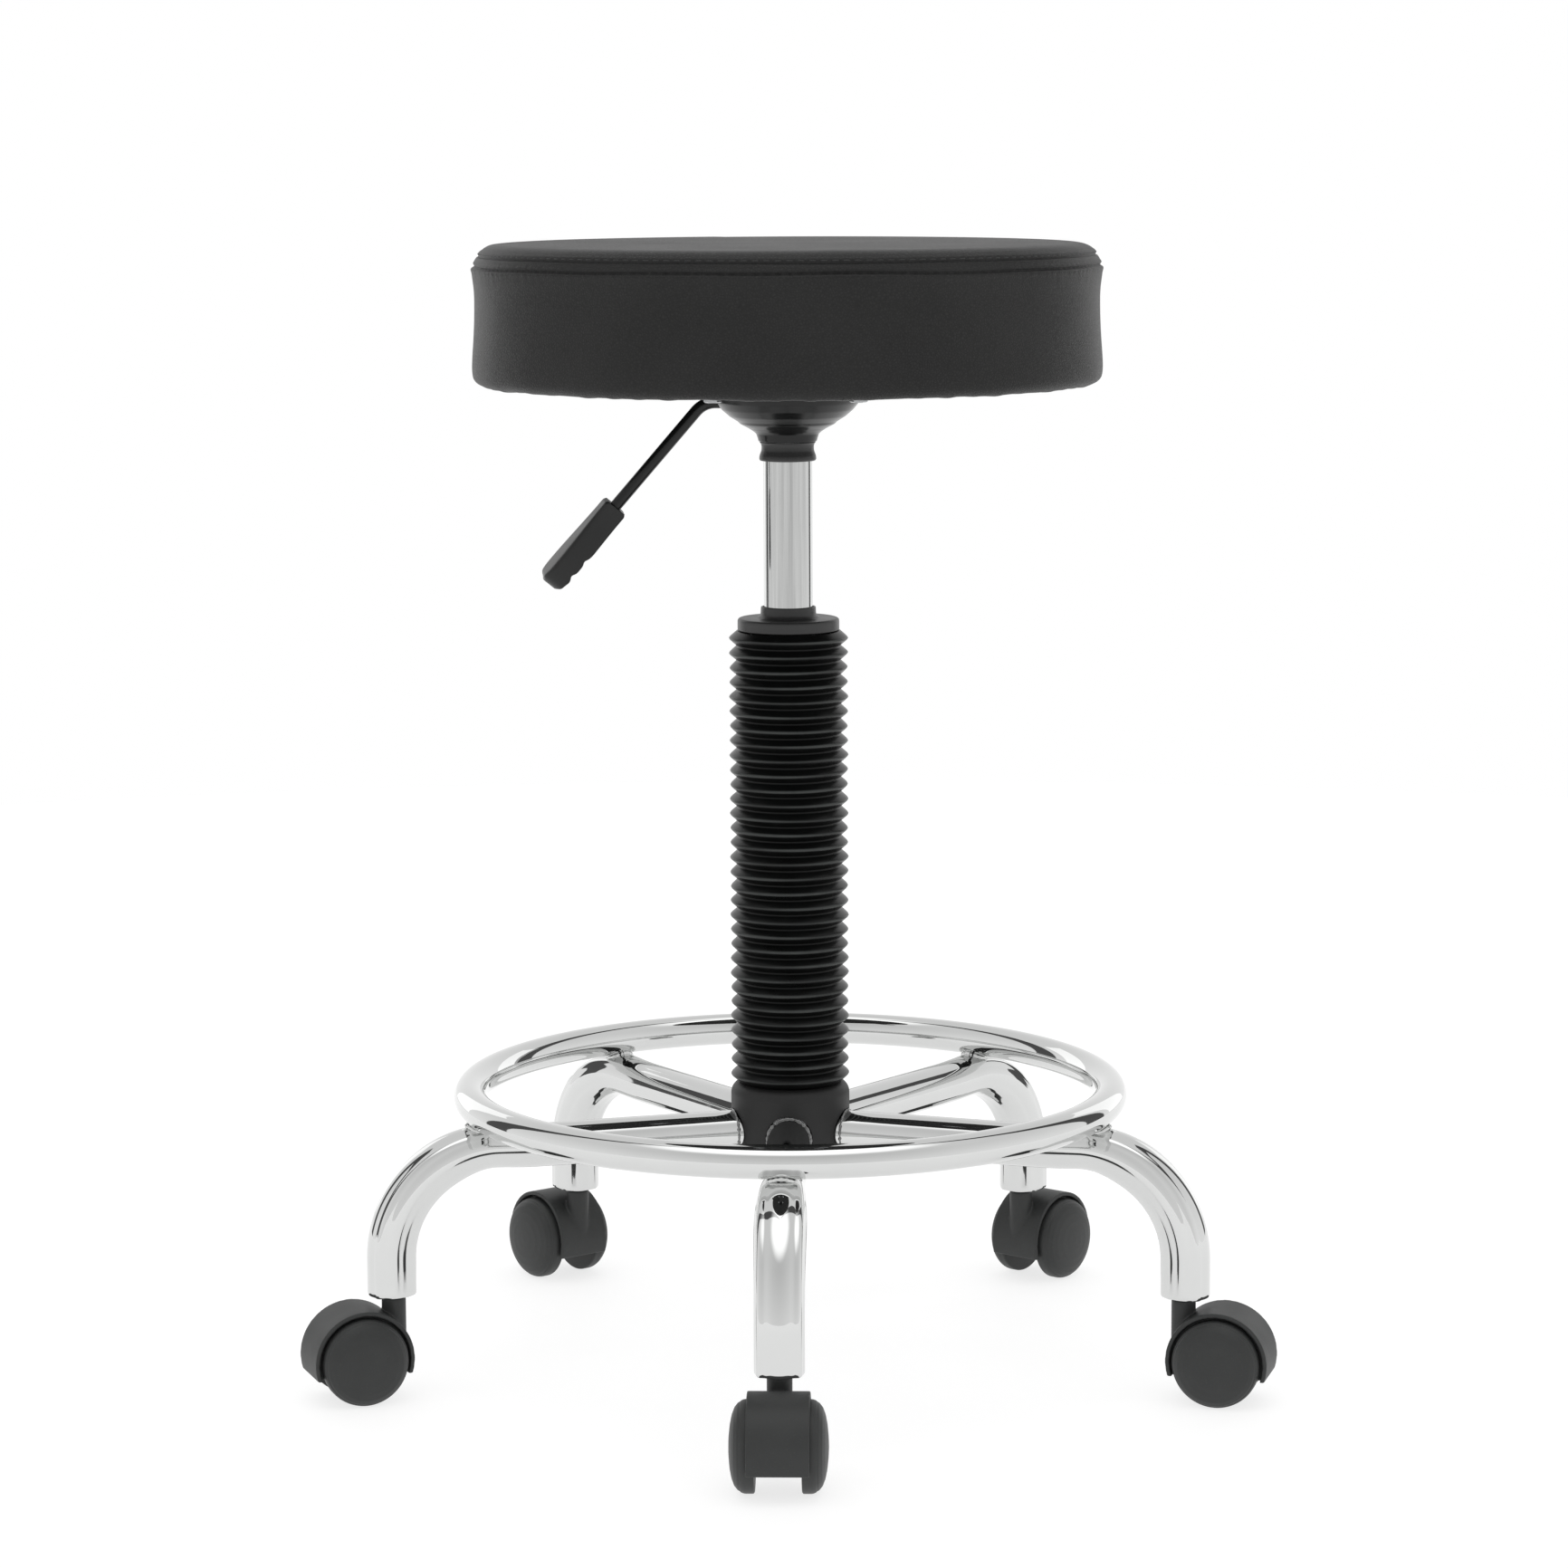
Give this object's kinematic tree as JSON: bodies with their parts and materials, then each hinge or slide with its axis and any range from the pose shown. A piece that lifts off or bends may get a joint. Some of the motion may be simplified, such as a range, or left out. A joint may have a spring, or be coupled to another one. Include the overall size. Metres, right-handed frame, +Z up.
{
  "type": "swivel stool",
  "caption": "Adjustable swivel stool: round padded black seat on a gas lift with a pleated boot, height lever, chrome foot ring and a star base of bent tubes on twin-wheel casters",
  "frame": {"origin": "On the floor, under the axis of the column", "axes": "+Z up along the column, front leg along -Y, height lever along -X"},
  "size_m": [0.5591, 0.5317, 0.6546],
  "materials": {
    "chrome": "polished",
    "steel": "bright zinc",
    "black_steel": "gloss",
    "black_plastic": "matte",
    "boot_plastic": "satin",
    "bush_plastic": "matte",
    "handle_plastic": "satin",
    "caster_plastic": "fine grain",
    "rubber": "matte",
    "leather": "fine grain, satin",
    "foam": "open cell",
    "plywood": "raw",
    "dust_fabric": "woven"
  },
  "bodies": {
    "base": {"hub_tube": "steel", "hub_cover": "black_plastic", "foot_ring": "chrome", "leg_1": "chrome", "leg_2": "chrome", "leg_3": "chrome", "leg_4": "chrome", "leg_5": "chrome", "stem_socket_1": "steel", "stem_socket_2": "steel", "stem_socket_3": "steel", "stem_socket_4": "steel", "stem_socket_5": "steel", "outer_column": "black_steel", "guide_bush": "bush_plastic", "thrust_bearing": "steel", "rubber_buffer": "rubber", "bellows": "boot_plastic"},
    "bellows_cap": {"bellows_cap": "black_plastic"},
    "spindle": {"piston_rod": "steel", "retaining_clip": "steel"},
    "seat": {"gas_cylinder": "chrome", "seat_plate": "black_steel", "plate_collar": "black_plastic", "seat_bolt_1": "steel", "seat_bolt_2": "steel", "seat_bolt_3": "steel", "seat_bolt_4": "steel", "seat_cover": "leather", "seat_foam": "foam", "seat_board": "plywood", "dust_cover": "dust_fabric"},
    "lever": {"lever_rod": "black_steel", "lever_handle": "handle_plastic"},
    "release_pin": {"release_pin": "steel"},
    "caster_1": {"caster_stem_1": "steel", "caster_housing_1": "caster_plastic", "caster_axle_1": "steel"},
    "wheel_1_left": {"wheel_1_left": "caster_plastic"},
    "wheel_1_right": {"wheel_1_right": "caster_plastic"},
    "caster_2": {"caster_stem_2": "steel", "caster_housing_2": "caster_plastic", "caster_axle_2": "steel"},
    "wheel_2_left": {"wheel_2_left": "caster_plastic"},
    "wheel_2_right": {"wheel_2_right": "caster_plastic"},
    "caster_3": {"caster_stem_3": "steel", "caster_housing_3": "caster_plastic", "caster_axle_3": "steel"},
    "wheel_3_left": {"wheel_3_left": "caster_plastic"},
    "wheel_3_right": {"wheel_3_right": "caster_plastic"},
    "caster_4": {"caster_stem_4": "steel", "caster_housing_4": "caster_plastic", "caster_axle_4": "steel"},
    "wheel_4_left": {"wheel_4_left": "caster_plastic"},
    "wheel_4_right": {"wheel_4_right": "caster_plastic"},
    "caster_5": {"caster_stem_5": "steel", "caster_housing_5": "caster_plastic", "caster_axle_5": "steel"},
    "wheel_5_left": {"wheel_5_left": "caster_plastic"},
    "wheel_5_right": {"wheel_5_right": "caster_plastic"}
  },
  "joints": [
    {"name": "seat_swivel", "type": "hinge", "parent": "base", "child": "spindle", "pos_m": [0, 0, 0.13], "axis": [0, 0, 1], "continuous": true},
    {"name": "lift_height", "type": "slide", "parent": "spindle", "child": "seat", "axis": [0, 0, 1], "range_m": [-0.14, 0]},
    {"name": "bellows_cap_slide", "type": "slide", "parent": "base", "child": "bellows_cap", "axis": [0, 0, 1], "range_m": [-0.0589, 0], "deforming": ["bellows"]},
    {"name": "lever_press", "type": "hinge", "parent": "seat", "child": "lever", "pos_m": [-0.0405, 0, 0.5639], "axis": [0, 1, 0], "range_deg": [0, 8], "stiffness_Nm_per_rad": 1.2, "springref_deg": -3.44},
    {"name": "release_pin_travel", "type": "slide", "parent": "seat", "child": "release_pin", "axis": [0, 0, -1], "range_m": [0, 0.0062]},
    {"name": "swivel_caster_1", "type": "hinge", "parent": "base", "child": "caster_1", "pos_m": [0, -0.2374, 0.0576], "axis": [0, 0, 1], "continuous": true},
    {"name": "swivel_caster_2", "type": "hinge", "parent": "base", "child": "caster_2", "pos_m": [0.22578, -0.07336, 0.0576], "axis": [0, 0, 1], "continuous": true},
    {"name": "swivel_caster_3", "type": "hinge", "parent": "base", "child": "caster_3", "pos_m": [0.13954, 0.19206, 0.0576], "axis": [0, 0, 1], "continuous": true},
    {"name": "swivel_caster_4", "type": "hinge", "parent": "base", "child": "caster_4", "pos_m": [-0.13954, 0.19206, 0.0576], "axis": [0, 0, 1], "continuous": true},
    {"name": "swivel_caster_5", "type": "hinge", "parent": "base", "child": "caster_5", "pos_m": [-0.22578, -0.07336, 0.0576], "axis": [0, 0, 1], "continuous": true},
    {"name": "wheel_spin_1_left", "type": "hinge", "parent": "caster_1", "child": "wheel_1_left", "pos_m": [0, -0.2594, 0.025], "axis": [1, 0, 0], "continuous": true},
    {"name": "wheel_spin_1_right", "type": "hinge", "parent": "caster_1", "child": "wheel_1_right", "pos_m": [0, -0.2594, 0.025], "axis": [1, 0, 0], "continuous": true},
    {"name": "wheel_spin_2_left", "type": "hinge", "parent": "caster_2", "child": "wheel_2_left", "pos_m": [0.24703, -0.07906, 0.025], "axis": [0.2588, 0.9659, 0], "continuous": true},
    {"name": "wheel_spin_2_right", "type": "hinge", "parent": "caster_2", "child": "wheel_2_right", "pos_m": [0.24703, -0.07906, 0.025], "axis": [0.2588, 0.9659, 0], "continuous": true},
    {"name": "wheel_spin_3_left", "type": "hinge", "parent": "caster_3", "child": "wheel_3_left", "pos_m": [0.15278, 0.20963, 0.025], "axis": [-0.7986, 0.6018, 0], "continuous": true},
    {"name": "wheel_spin_3_right", "type": "hinge", "parent": "caster_3", "child": "wheel_3_right", "pos_m": [0.15278, 0.20963, 0.025], "axis": [-0.7986, 0.6018, 0], "continuous": true},
    {"name": "wheel_spin_4_left", "type": "hinge", "parent": "caster_4", "child": "wheel_4_left", "pos_m": [-0.15338, 0.20916, 0.025], "axis": [-0.7771, -0.6293, 0], "continuous": true},
    {"name": "wheel_spin_4_right", "type": "hinge", "parent": "caster_4", "child": "wheel_4_right", "pos_m": [-0.15338, 0.20916, 0.025], "axis": [-0.7771, -0.6293, 0], "continuous": true},
    {"name": "wheel_spin_5_left", "type": "hinge", "parent": "caster_5", "child": "wheel_5_left", "pos_m": [-0.24603, -0.08196, 0.025], "axis": [0.3907, -0.9205, 0], "continuous": true},
    {"name": "wheel_spin_5_right", "type": "hinge", "parent": "caster_5", "child": "wheel_5_right", "pos_m": [-0.24603, -0.08196, 0.025], "axis": [0.3907, -0.9205, 0], "continuous": true}
  ],
  "couplings": [
    {"joint": "bellows_cap_slide", "follows": "lift_height", "ratio": 0.42},
    {"joint": "release_pin_travel", "follows": "lever_press", "m_per_rad": 0.0432}
  ]
}
